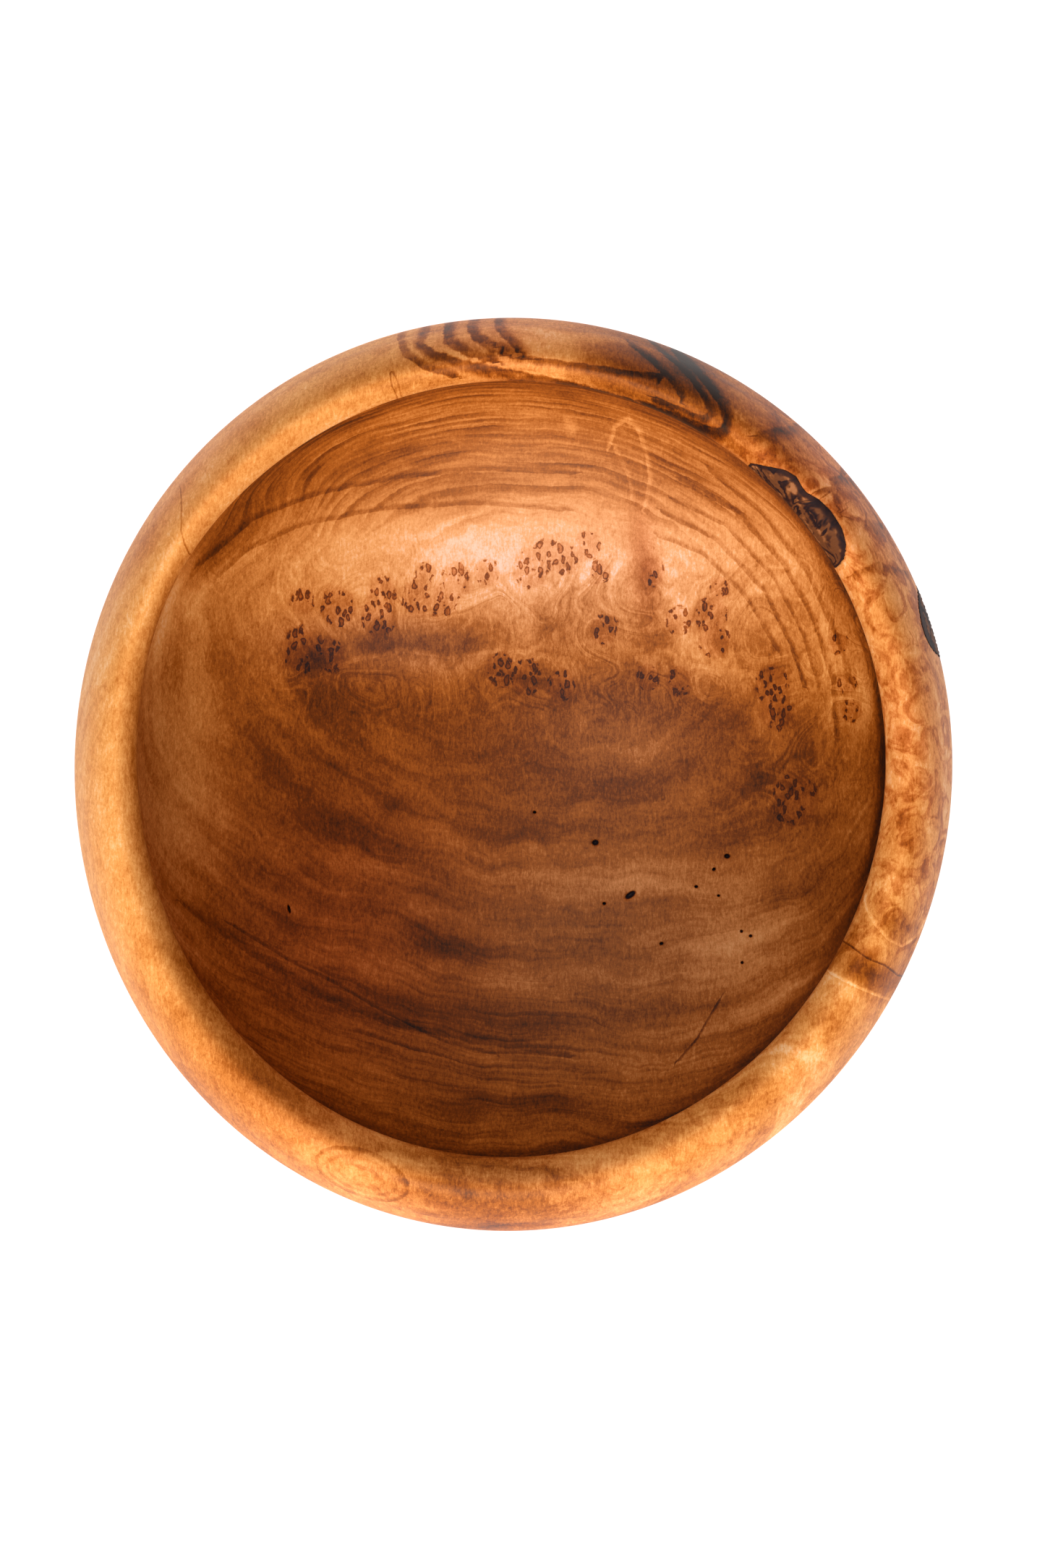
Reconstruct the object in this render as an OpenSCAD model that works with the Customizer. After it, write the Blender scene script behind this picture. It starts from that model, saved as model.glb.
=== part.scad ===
/* [Bowl] */
// Mean radius of the outside at its widest level
belly_r = 98; // [90:1:110]
// Height from the foot to the top of the rim
height = 80; // [74:1:90]
// Radius of the flat foot
foot_r = 42; // [36:1:50]
// Thickness of the wood under the middle of the floor
floor_t = 12; // [9:0.5:16]
// Width of the rim, seen from above
rim_w = 16; // [14:0.5:19]

/* [Hand-made shape] */
// How far the outline is from a circle towards an oval along Y, as a share of the radius
ovality = 0.020; // [0:0.002:0.03]
// How far the outline is from a circle towards three soft corners, as a share of the radius
corners = 0.0045; // [0:0.0005:0.01]
// How far the mouth is drawn out where the rim is narrowest
mouth_bulge = 1.5; // [0:0.1:3]
// How far the cavity is off the centre of the bowl
cavity_shift = 1.1; // [0:0.1:2]
// How far the top of the rim rises and dips
rim_wave = 0.6; // [0:0.1:1]

/* [Bark] */
// Depth of the bark pocket in the inside edge of the rim
pocket_depth = 4.5; // [3:0.5:6]
// Depth of the bark patch on the outside of the wall
patch_depth = 3; // [2:0.5:4]

/* [Hidden] */

wood_colour = "#b5692f";
bark_colour = "#3a2a26";

// Mesh of the bowl: directions around it, and steps along each span of its section
around = 72;
span_steps = 3;

// Directions in degrees, anticlockwise from +X seen from above
oval_dir = 86;
corner_dir = 20;
bulge_dir = 152;
bulge_spread = 22;
shift_dir = 100;
pocket_dir = 42;
patch_dir = 19.5;

mouth_r = belly_r - rim_w;
belly_z = 0.70 * height;

// The cavity is widest a little below the mouth, and round from there down
cavity_r = mouth_r + 3.5;
cavity_z = 0.68 * height;
function cavity_point(a) = [cavity_r * sin(a), cavity_z - (cavity_z - floor_t) * cos(a)];

// The section, as [radius, height]: from the foot up the outside, over the rim and down to the floor
section = [
    [foot_r, 0],
    [foot_r + 0.28 * (belly_r - foot_r), 0.065 * height],
    [foot_r + 0.64 * (belly_r - foot_r), 0.24 * height],
    [foot_r + 0.91 * (belly_r - foot_r), 0.47 * height],
    [belly_r, belly_z],
    [belly_r - 0.16 * rim_w, 0.86 * height],
    [belly_r - 0.45 * rim_w, 0.965 * height],
    [mouth_r + 0.25 * rim_w, 0.995 * height],
    [mouth_r, 0.93 * height],
    [mouth_r + 0.10 * rim_w, 0.82 * height],
    for (a = [90, 70, 50, 25, 0]) cavity_point(a)
];
last = len(section) - 1;

// A smooth curve through four points in turn, at u from 0 to 1 between the middle two
function curve(a, b, c, d, u) =
    0.5 * (2 * b + (c - a) * u + (2 * a - 5 * b + 4 * c - d) * u * u
    + (3 * b - a - 3 * c + d) * u * u * u);

// The section before the foot and past the floor's middle, so that the curve is level at both ends
function section_at(k) =
    k < 0 ? [0.8 * foot_r, 0]
    : k > last ? [-section[last - 1].x, section[last - 1].y]
    : section[k];

function section_point(k, u) =
    curve(section_at(k - 1), section_at(k), section_at(k + 1), section_at(k + 2), u);

// Radius of the outline in a direction, as a share of the mean
function outline(a) = 1 + ovality * cos(2 * (a - oval_dir)) + corners * cos(3 * (a - corner_dir));

// 1 at x = 0, fading to 0 on both sides
function fade(x) = exp(-x * x);

// The difference between two directions, from -180 to 180
function turn(a, b) = (a - b + 540) % 360 - 180;

// Where the bulge of the mouth is felt: k is the place along the section, in spans
function bulge(k, a) = mouth_bulge * fade((k - 8.3) / 1.4) * fade(turn(a, bulge_dir) / bulge_spread);

// How far the cavity's shift moves a place along the section: not at all outside, fully inside the mouth
function shift(k) =
    let (t = min(1, max(0, (k - 6) / 2.5)))
    cavity_shift * t * t * (3 - 2 * t) * [cos(shift_dir), sin(shift_dir), 0];

function bowl_point(k, u, a) =
    let (p = section_point(k, u))
    let (r = p.x * outline(a) + bulge(k + u, a))
    let (z = p.y + rim_wave * fade((p.y - height) / 14) * sin(2 * a + 40))
    [r * cos(a), r * sin(a), z] + shift(k + u);

// The whole bowl before the bark pockets are cut: rings of points, closed by the foot and the floor
module bowl_solid() {
    rings = [for (k = [0:last - 1], s = [0:span_steps - 1]) [k, s / span_steps]];
    count = len(rings);
    points = [
        for (ring = rings, j = [0:around - 1]) bowl_point(ring[0], ring[1], j * 360 / around),
        shift(last) + [0, 0, floor_t]
    ];
    walls = [
        for (i = [0:count - 2], j = [0:around - 1])
        let (n = (j + 1) % around)
        each [
            [i * around + j, (i + 1) * around + j, i * around + n],
            [i * around + n, (i + 1) * around + j, (i + 1) * around + n]
        ]
    ];
    foot = [[for (j = [0:around - 1]) j]];
    floor_fan = [
        for (j = [0:around - 1])
        [(count - 1) * around + j, count * around, (count - 1) * around + (j + 1) % around]
    ];
    polyhedron(points, concat(foot, walls, floor_fan), convexity = 4);
}

// A point in the wood: radius and height in the section, in a direction
function wood_point(r, z, a) = [r * outline(a) * cos(a), r * outline(a) * sin(a), z];

// Radius of the outside wall at a height
function wall_r(z) = lookup(z, [for (k = [2:6]) [section[k].y, section[k].x]]);

// The pocket of ingrown bark: two lobes that run along the inside edge of the rim
module pocket_space() {
    for (lobe = [[-6.5, -2.5, 1.0], [3, 6.5, 0.9]])
        translate(shift(8))
            hull() {
                for (a = [lobe[0], lobe[1]])
                    translate(wood_point(mouth_r + 0.4, 0.93 * height, pocket_dir + a))
                        sphere(r = pocket_depth * lobe[2], $fn = 20);
                translate(wood_point(mouth_r + 2.8, 0.98 * height, pocket_dir + (lobe[0] + lobe[1]) / 2))
                    sphere(r = 0.8 * pocket_depth * lobe[2], $fn = 20);
            }
}

// The patch of old bark let into the outside wall: an oval, made as its upper and its lower half
module patch_space() {
    for (tip = [[-1.5, 0.85], [0, 0.50]])
        hull()
            for (p = [tip, [-3.0, 0.66], [3.4, 0.69]])
                translate(wood_point(wall_r(p[1] * height), p[1] * height, patch_dir + p[0]))
                    sphere(r = patch_depth, $fn = 20);
}

module bowl_body() {
    color(wood_colour)
        difference() {
            bowl_solid();
            pocket_space();
            patch_space();
        }
}

module rim_bark_pocket() {
    color(bark_colour)
        intersection() {
            bowl_solid();
            pocket_space();
        }
}

module outer_bark_patch() {
    color(bark_colour)
        intersection() {
            bowl_solid();
            patch_space();
        }
}

bowl_body();
rim_bark_pocket();
outer_bark_patch();
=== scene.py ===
import math

import bmesh
import bpy
import numpy as np
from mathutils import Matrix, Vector


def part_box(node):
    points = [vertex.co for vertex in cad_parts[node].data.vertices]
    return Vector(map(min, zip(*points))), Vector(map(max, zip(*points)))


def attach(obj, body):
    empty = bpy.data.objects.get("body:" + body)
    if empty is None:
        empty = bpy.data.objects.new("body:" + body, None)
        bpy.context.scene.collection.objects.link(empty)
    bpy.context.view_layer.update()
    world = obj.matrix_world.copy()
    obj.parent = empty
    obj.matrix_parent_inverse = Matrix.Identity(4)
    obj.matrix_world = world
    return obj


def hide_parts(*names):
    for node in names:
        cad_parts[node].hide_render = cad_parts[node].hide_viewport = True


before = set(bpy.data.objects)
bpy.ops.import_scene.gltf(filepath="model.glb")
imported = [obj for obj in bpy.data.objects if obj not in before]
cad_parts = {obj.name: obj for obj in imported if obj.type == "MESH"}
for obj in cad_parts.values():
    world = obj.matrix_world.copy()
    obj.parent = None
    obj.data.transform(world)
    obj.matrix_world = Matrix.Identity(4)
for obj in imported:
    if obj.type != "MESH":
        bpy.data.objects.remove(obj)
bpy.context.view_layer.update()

# ---------------------------------------------------------------------------------------------
# The bowl's form, as in the CAD model, in metres and degrees
# ---------------------------------------------------------------------------------------------
MM = 0.001
RIM_WAVE = 0.6 * MM
low_corner, high_corner = (np.array(corner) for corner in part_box("bowl_body"))
BELLY_R = float((high_corner - low_corner)[:2].sum()) / 4
HEIGHT = float(high_corner[2]) - RIM_WAVE
FOOT_R = 42 * MM
FLOOR_T = 12 * MM
RIM_W = 16 * MM
MOUTH_R = BELLY_R - RIM_W
CAVITY_R = MOUTH_R + 3.5 * MM
CAVITY_Z = 0.68 * HEIGHT
BELLY_Z = 0.70 * HEIGHT

OVALITY, OVAL_DIR = 0.020, 86
CORNERS, CORNER_DIR = 0.0045, 20
MOUTH_BULGE, BULGE_DIR, BULGE_SPREAD = 1.5 * MM, 152, 22
CAVITY_SHIFT, SHIFT_DIR = 1.1 * MM, 100

# Places along the section, counted in spans from the foot: widest level, mouth's edge, floor's middle
BELLY, MOUTH, FLOOR = 4, 8, 14


def section_points():
    """The section as radius and height: up the outside, over the rim and down to the floor."""
    wall = BELLY_R - FOOT_R
    outside = [
        (FOOT_R, 0),
        (FOOT_R + 0.28 * wall, 0.065 * HEIGHT),
        (FOOT_R + 0.64 * wall, 0.24 * HEIGHT),
        (FOOT_R + 0.91 * wall, 0.47 * HEIGHT),
        (BELLY_R, BELLY_Z),
    ]
    rim = [
        (BELLY_R - 0.16 * RIM_W, 0.86 * HEIGHT),
        (BELLY_R - 0.45 * RIM_W, 0.965 * HEIGHT),
        (MOUTH_R + 0.25 * RIM_W, 0.995 * HEIGHT),
        (MOUTH_R, 0.93 * HEIGHT),
        (MOUTH_R + 0.10 * RIM_W, 0.82 * HEIGHT),
    ]
    cavity = [
        (CAVITY_R * math.sin(a), CAVITY_Z - (CAVITY_Z - FLOOR_T) * math.cos(a))
        for a in np.radians([90, 70, 50, 25, 0])
    ]
    return np.array(outside + rim + cavity)


SECTION = section_points()


def section_curve(place):
    """The smooth section at places along it: an array of radius and height."""
    before = [0.8 * FOOT_R, 0]
    after = [-SECTION[-2][0], SECTION[-2][1]]
    points = np.vstack([before, SECTION, after])
    span = np.clip(np.floor(place).astype(int), 0, FLOOR - 1)
    u = (place - span)[..., None]
    a, b, c, d = points[span], points[span + 1], points[span + 2], points[span + 3]
    square = (2 * a - 5 * b + 4 * c - d) * u**2
    cube = (3 * b - a - 3 * c + d) * u**3
    return 0.5 * (2 * b + (c - a) * u + square + cube)


def fade(x):
    """1 at 0, fading to 0 on both sides."""
    return np.exp(-(x**2))


def step(x, start, end):
    """0 up to start and 1 from end on, smooth between; start may be above end."""
    t = np.clip((x - start) / (end - start), 0, 1)
    return t * t * (3 - 2 * t)


def turn(a, b):
    """The difference between two directions, from -180 to 180."""
    return (a - b + 540) % 360 - 180


def outline(direction):
    """The outline's radius in a direction, as a share of the mean."""
    oval = OVALITY * np.cos(np.radians(2 * (direction - OVAL_DIR)))
    corners = CORNERS * np.cos(np.radians(3 * (direction - CORNER_DIR)))
    return 1 + oval + corners


def bowl_point(place, direction):
    """Points on the bowl's surface, for arrays of places along the section and of directions."""
    section = section_curve(place)
    at_mouth = fade((place - 8.3) / 1.4)
    at_top = fade((section[..., 1] - HEIGHT) / (14 * MM))
    bulge = MOUTH_BULGE * at_mouth * fade(turn(direction, BULGE_DIR) / BULGE_SPREAD)
    wave = RIM_WAVE * at_top * np.sin(np.radians(2 * direction + 40))
    r = section[..., 0] * outline(direction) + bulge
    shift = CAVITY_SHIFT * step(place, 6, 8.5)
    x = r * np.cos(np.radians(direction)) + shift * math.cos(math.radians(SHIFT_DIR))
    y = r * np.sin(np.radians(direction)) + shift * math.sin(math.radians(SHIFT_DIR))
    return np.stack([x, y, section[..., 1] + wave], axis=-1)


def evenly(positions, spacing):
    """Values among rising positions, as far apart as the spacing given at each position."""
    steps = np.diff(positions) / ((spacing[1:] + spacing[:-1]) / 2)
    count = np.concatenate([[0], np.cumsum(steps)])
    return np.interp(np.linspace(0, count[-1], round(count[-1]) + 1), count, positions)


def section_length():
    """Places along the section, and the length of the section up to each."""
    places = np.linspace(0, FLOOR, 5601)
    steps = np.linalg.norm(np.diff(section_curve(places), axis=0), axis=1)
    return places, np.concatenate([[0], np.cumsum(steps)])


PLACES, LENGTHS = section_length()


def length_at(place):
    """Length along the section from the mouth's edge: above 0 outside it, below 0 in the cavity."""
    return np.interp(MOUTH, PLACES, LENGTHS) - np.interp(place, PLACES, LENGTHS)


def mesh_places():
    """The mesh's places along the section: close together on the rim."""
    places = [0, 3.5, 4.5, 9, 10, FLOOR]
    spacings = np.array([1.9, 1.5, 0.8, 0.8, 1.3, 1.4]) * MM
    spacing = np.interp(PLACES, places, spacings)
    return np.interp(evenly(LENGTHS, spacing), LENGTHS, PLACES)


def mesh_directions():
    """The mesh's directions round the bowl: close together at the two bark pieces."""
    positions = np.linspace(0, 360, 3601)
    spacing = np.interp(positions, [10, 13, 54, 58], [1.0, 0.45, 0.45, 1.0])
    return evenly(positions, spacing)[:-1]


def grid_faces(rows, columns):
    """Quads between rows of points that each close round the bowl."""
    row, column = np.meshgrid(np.arange(rows - 1), np.arange(columns), indexing="ij")
    after = (column + 1) % columns
    here, above = row * columns, (row + 1) * columns
    quads = [here + column, here + after, above + after, above + column]
    return np.stack(quads, axis=-1).reshape(-1, 4).tolist()


def add_piece(name, vertices, faces, material):
    """A smooth mesh piece of the bowl that rides on its one body."""
    mesh = bpy.data.meshes.new(name)
    mesh.from_pydata(vertices.tolist(), [], faces)
    mesh.polygons.foreach_set("use_smooth", [True] * len(mesh.polygons))
    mesh.materials.append(material)
    mesh.update()
    piece = bpy.data.objects.new(name, mesh)
    bpy.context.scene.collection.objects.link(piece)
    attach(piece, "root")
    return piece


# ---------------------------------------------------------------------------------------------
# The wood's figure, painted on the mesh's points as numbers that the material reads
# ---------------------------------------------------------------------------------------------
# The pith, the line that the growth rings lie round: a point on it and its direction, in mm
PITH_POINT = np.array([0.0, 58.0, -80.0])
PITH_SLOPE = np.array([1.0, -0.17, 0.02])

# Tone of the wood round the rim, from 0, dark, to 1, pale: direction and tone
RIM_TONE = [
    (0, 0.78), (12, 0.75), (30, 0.75), (42, 0.74), (52, 0.68), (60, 0.56), (68, 0.46), (76, 0.52),
    (84, 0.72), (92, 0.70), (100, 0.70), (106, 0.76), (125, 0.82), (145, 0.84), (170, 0.82),
    (200, 0.79), (215, 0.71), (228, 0.61), (240, 0.72), (250, 0.80), (259, 0.63), (266, 0.48),
    (274, 0.49), (284, 0.64), (300, 0.76), (318, 0.80), (327, 0.74), (332, 0.64), (338, 0.72),
    (345, 0.77), (360, 0.78),
]

# How mottled the rim is: direction and share
RIM_MOTTLE = [
    (0, 1), (50, 0.9), (60, 0.3), (100, 0.2), (215, 0.15), (245, 0.4), (330, 0.5), (340, 0.9), (360, 1),
]

# Marks on the rim, seen from above in mm: x, y, half length, half width, turn in degrees, amount
RIM_MARKS = [
    (40, 83.5, 9, 3.4, -57, -0.22),
    (26, 87, 10, 4, -18, -0.12),
    (36, 86, 10, 5, -25, -0.14),
    (7, 93, 8, 3, -5, 0.10),
    (-15, 90, 6, 5, 0, 0.08),
    (76.3, -43.5, 8, 3.4, -28, -0.36),
    (95, 2, 3, 30, 0, 0.10),
    (83, -33, 5.5, 3.2, -25, -0.22),
    (86, -25, 7, 1.6, -17, 0.12),
    (72, -46, 7, 1.6, -32, 0.10),
    (-22, -80, 16, 2.6, 12, -0.10),
    (-50, -68, 18, 3.2, -36, -0.15),
    (62, 63, 7, 3, 130, -0.10),
    (-79, 50, 10, 3, 57, -0.16),
    (-70, 63, 5, 2, 48, -0.10),
    (-58, 74, 8, 2.5, 38, -0.14),
    (67, 62, 3, 6, 130, 0.08),
    (73, 49, 5, 1.4, 75, 0.14),
    (73, 62, 3, 5, 40, -0.14),
    (60, 73, 8, 3.5, -45, -0.16),
    (79, 53, 2, 6, 30, -0.10),
    (66, 66, 7, 3, -50, 0.08),
]

# Marks in the cavity, seen from above in mm: x, y, half length, half width, turn in degrees, amount
CAVITY_TONE = [
    # The first two marks are a painted highlight: the sheen of the window light on the upper wall.
    (0, 49, 50, 10, 0, 0.20),
    (-12, 56, 26, 6, 4, 0.08),
    (-12, 30, 11, 4.6, 0, -0.25),
    (-31, 30, 12, 4.6, 0, -0.28),
    (-72, 34, 12, 3.5, 72, -0.06),
    (-28.5, -8, 2, 2.2, 0, -0.16),
    (56, 0, 2.5, 10, 10, -0.12),
    (61, -11, 8, 3, 0, -0.10),
    (60, -24, 3, 3, 0, -0.12),
    (38, -44, 6, 3, 20, -0.12),
    (28, -10, 10, 2.5, -20, -0.06),
    (-28, 26, 18, 1.6, -3, 0.12),
    (-46, 27, 9, 3, -6, -0.20),
    (30, 48, 14, 3, 100, -0.27),
    (7, 36, 5, 2, 95, -0.16),
    (13, 78, 2.0, 0.8, 95, 0.25),
    (60, 42, 9, 20, 35, -0.03),
    (50, 56, 12, 5, -45, 0.03),
    (-76, 5, 11, 42, 0, 0.24),
    (-68, 50, 9, 5, 50, -0.26),
    (-56, 61, 15, 4, 38, -0.19),
    (-58, 53, 12, 5, 36, -0.16),
    (-62, 36, 10, 10, 0, -0.10),
    (-30, 71, 20, 4, 14, -0.11),
    (-49, 2, 13, 20, 0, -0.06),
    (-67, 16, 10, 8, 0, 0.08),
    (-45, -26, 10, 12, 0, -0.05),
    (8, 61, 14, 5, 0, 0.05),
    (44, -60, 12, 8, 40, 0.06),
    (-22, 30, 16, 6, 0, 0.03),
    (29, 8, 8, 12, 0, 0.06),
    (22, 28, 10, 5, 0, 0.05),
    (16, 8, 9, 16, 0, 0.13),
    (47, 22, 14, 13, 0, -0.18),
    (72, 26, 8, 14, 0, -0.10),
    (-18, 6, 12, 10, 0, -0.06),
    (0, -15, 8, 6, 0, -0.08),
    (34, -48, 26, 10, 20, 0.10),
    (54, -40, 12, 12, 0, 0.12),
    (0, -45, 9, 7, 0, 0.17),
    (76, -8, 6, 14, 0, 0.09),
    (16, 75, 10, 5, 0, -0.06),
    (-30, 76, 10, 4, 14, -0.06),
    (-28, -55, 20, 9, -10, -0.04),
    (22, -68, 20, 8, 0, 0.06),
    (0, -2, 30, 12, 0, -0.07),
    (-34, 16, 24, 6, -3, -0.14),
    (-60, -50, 20, 26, -30, -0.05),
    (-5, -78, 46, 10, 0, -0.07),
    (74, -2, 7, 24, 0, -0.06),
    (10, -30, 26, 14, 0, 0.02),
    (45, -30, 22, 18, 0, 0.10),
    (-38, -13, 24, 4, -10, -0.11),
    (-36, -22, 16, 2.5, -12, 0.10),
    (-16, -40, 18, 2.6, -4, -0.16),
    (-20, -32, 16, 2.4, -8, 0.10),
    (0, -56, 30, 4, -8, -0.12),
    (20, -66, 26, 3, 4, 0.06),
    (66, 8, 6, 12, 10, -0.14),
]

# Redder places in the cavity and on the rim, each given like a mark
CAVITY_RED = [
    (30, 48, 13, 3, 95, 0.35),
    (-42, -38, 34, 38, 0, 0.9),
]
RIM_RED = [
    (26, 87, 10, 4, -18, 0.35),
    (66, 64, 26, 16, 128, 0.65),
    (88, 10, 30, 12, 90, 0.35),
    (-46, -72, 22, 7, -36, 0.30),
    (-2, 94, 18, 9, 0, 0.50),
    (-74, 62, 40, 8, 50, 0.35),
]

# Burl eyes in the cavity, seen from above in mm: x, y, radius
BURLS = [
    (-48, 39, 2.4), (-40, 38, 3.4), (-30, 41, 3.0), (-31, 36, 3.4), (-22, 40, 3.0), (-20, 46, 2.0),
    (-13, 44, 3.2), (-6, 46, 2.6), (4, 47, 3.4), (8, 50, 3.0), (12, 49, 2.8), (17, 52, 2.6),
    (20, 46, 2.0), (-48, 28, 4.0), (-42, 27, 3.0), (-3, 24, 3.0), (3, 22, 3.2), (11, 20, 2.8),
    (21, 33, 2.6), (31, 22, 2.4), (38, 21, 2.6), (38, 35, 2.6), (45, 36, 3.4), (46, 30, 3.0),
    (47, 42, 2.0), (59, 20, 3.4), (60, 14, 3.2), (64, -6, 4.6), (73, 29, 1.8), (75, 20, 1.8),
    (76, 14, 2.0), (32, 46, 2.5), (-16, 40, 3.0),
]

# Places where the growth lines flow round a knot or a burl, each like a mark with its height in mm
CAVITY_KNOTS = [
    (-58, 54, 13, 6, 35, 9),
    (12, -80, 12, 5, 5, 6),
    (-30, 39, 12, 5, 0, 4),
    (44, 35, 9, 8, 0, 7),
    (2, 23, 14, 5, 0, 5),
    (-48, 30, 8, 4, 0, 4),
    (60, 17, 6, 9, 0, 5),
    (64, -5, 8, 6, 0, 5),
]


def polar(*places):
    """Places seen from above, each given as a direction and a radius in mm."""
    return [(r * math.cos(math.radians(a)), r * math.sin(math.radians(a))) for a, r in places]


def oval(x, y, half_length, half_width, angle):
    """A closed oval seen from above, in mm."""
    c, s = math.cos(math.radians(angle)), math.sin(math.radians(angle))
    turns = [math.radians(20 * i) for i in range(19)]
    around = [(half_length * math.cos(t), half_width * math.sin(t)) for t in turns]
    return [(x + u * c - v * s, y + u * s + v * c) for u, v in around]


# Single lines in the wood, in three sets so that lines of one set lie well apart. For each line:
# whether it is on the rim or in the cavity, how dark it is (pale if negative), its width in mm, and
# the line seen from above.
LINES = [
    [
        ("rim", 1.2, 1.0, polar(
            (77, 122), (74, 108), (68, 97), (64, 94), (60.8, 91), (58.6, 88), (58.4, 85.6),
            (60.5, 84.4), (65.5, 83.9), (71.5, 83.6), (79, 83.9), (86, 84.6), (92, 86), (97, 88.2),
            (100.5, 91), (102, 94), (101, 98), (99, 106), (98, 118),
        )),
        ("rim", 1.2, 1.1, polar(
            (91, 120), (93.5, 106), (95.4, 97.3), (95, 93.6), (92.6, 90.6), (88.6, 88.8),
        )),
        ("rim", 0.6, 0.15, polar((107, 84.4), (107.3, 86.8), (106.9, 89.3))),
        ("rim", 0.6, 0.15, polar((139.5, 94), (141.5, 90.6), (144, 87.5), (146, 83.8))),
        ("rim", -0.6, 0.3, polar((327.7, 81), (328.1, 87), (328.8, 95), (329, 103))),
        ("rim", -0.55, 0.3, polar(
            (341.5, 80), (339.2, 80.8), (337.2, 84), (336.0, 88), (335.9, 92), (338, 94.8), (341, 96),
        )),
        ("rim", 0.45, 0.4, oval(*polar((249.5, 92.0))[0], 10.5, 5.4, 339.5)),
        ("cavity", -0.45, 0.45, [
            (22, 74), (23, 77.5), (25.5, 79), (28, 77), (30, 72), (31, 66), (30, 61),
        ]),
        ("cavity", -0.25, 0.5, [(-42, 24), (-34, 26.5), (-24, 28), (-14, 26.5), (-4, 28)]),
        ("cavity", 0.8, 0.22, [(47, -51), (44.5, -55), (41.5, -60), (37, -65)]),
        ("cavity", 0.6, 0.5, [(38, 66), (50, 59), (61, 47), (68, 34), (72, 21), (73, 8)]),
        ("cavity", 0.5, 0.45, [(33, 54), (43, 50), (53, 40), (60, 28)]),
        ("cavity", 0.4, 0.9, [(-73, -30), (-60, -40), (-45, -50), (-28, -57), (-8, -61), (12, -64)]),
    ],
    [
        ("rim", 0.9, 0.6, polar(
            (80, 118), (76, 105), (71, 97), (66.5, 93.6), (63, 90.2), (61, 87.6), (61.4, 86.2),
            (64, 85.7), (69, 85.6),
        )),
        ("rim", 1.2, 1.1, polar(
            (95, 116), (97, 104), (98.4, 97.5), (98.6, 93.6), (96.6, 90.6), (93, 88.4),
        )),
        ("rim", 1.1, 1.0, polar((89, 112), (91.5, 101), (92, 97), (91, 94), (89.4, 91))),
        ("rim", 0.9, 0.2, polar((332.9, 80.5), (332.3, 86), (332.6, 90), (332.2, 94.5), (333, 101))),
        ("rim", 0.20, 0.3, oval(*polar((249.5, 92.2))[0], 8.0, 3.9, 339.5)),
        ("cavity", -0.3, 0.45, [(23, 73), (26, 68), (27, 63)]),
        ("cavity", 0.6, 0.45, [(34, 59), (46, 53), (57, 41), (63, 29), (66, 20)]),
        ("cavity", 0.5, 0.5, [(-66, 44), (-60, 50), (-48, 56), (-30, 60), (-8, 61.5), (12, 60)]),
    ],
    [
        ("rim", 0.8, 0.7, polar((74.5, 95.8), (70.5, 92.6), (67, 89.6), (66, 88.2))),
        ("rim", 0.9, 0.7, polar((70, 90.6), (73, 89.0), (78, 88.4), (84, 88.2), (89, 88.6))),
        ("rim", 1.0, 0.8, polar((102, 112), (104.6, 97), (104.4, 92.5), (102.4, 88.8), (98.5, 86))),
        ("rim", 0.20, 0.3, oval(*polar((249.5, 92.4))[0], 5.2, 2.3, 339.5)),
        ("cavity", 0.45, 0.35, [(-64, -34), (-50, -43), (-40, -48), (-30, -54), (-16, -61), (-4, -64)]),
        ("rim", 0.7, 1.2, polar((49, 108), (50, 100), (51, 95), (53.5, 90))),
        ("rim", 0.7, 1.0, polar((39, 110), (40, 102), (41, 97), (42.5, 93), (40, 90.5))),
        ("rim", 0.6, 1.2, polar((32, 108), (33, 100), (34, 95), (36.5, 91))),
        ("rim", 0.9, 0.6, [(72, 67), (71, 63.5), (68.5, 61), (65.5, 60)]),
        ("rim", 0.5, 0.9, polar((26, 101), (27, 95), (29.5, 90), (30, 85))),
        ("cavity", 0.5, 0.5, [(-70, 46), (-58, 57), (-44, 63), (-26, 67), (-6, 69), (14, 68)]),
        ("cavity", 0.5, 0.5, [(44, 68), (56, 58), (66, 45), (72, 32), (76, 20)]),
        ("cavity", 0.5, 0.4, [(36, 62), (48, 56), (59, 44), (65.5, 31.5), (69, 20)]),
    ],
]


def across_to_length(across):
    """Length along the section for a share of the rim's width: 0 at the mouth, 1 at the belly."""
    places = np.linspace(BELLY, MOUTH, 81)
    radii = section_curve(places)[:, 0]
    share = (radii - MOUTH_R) / RIM_W
    return np.interp(across, share[::-1], length_at(places)[::-1])


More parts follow.
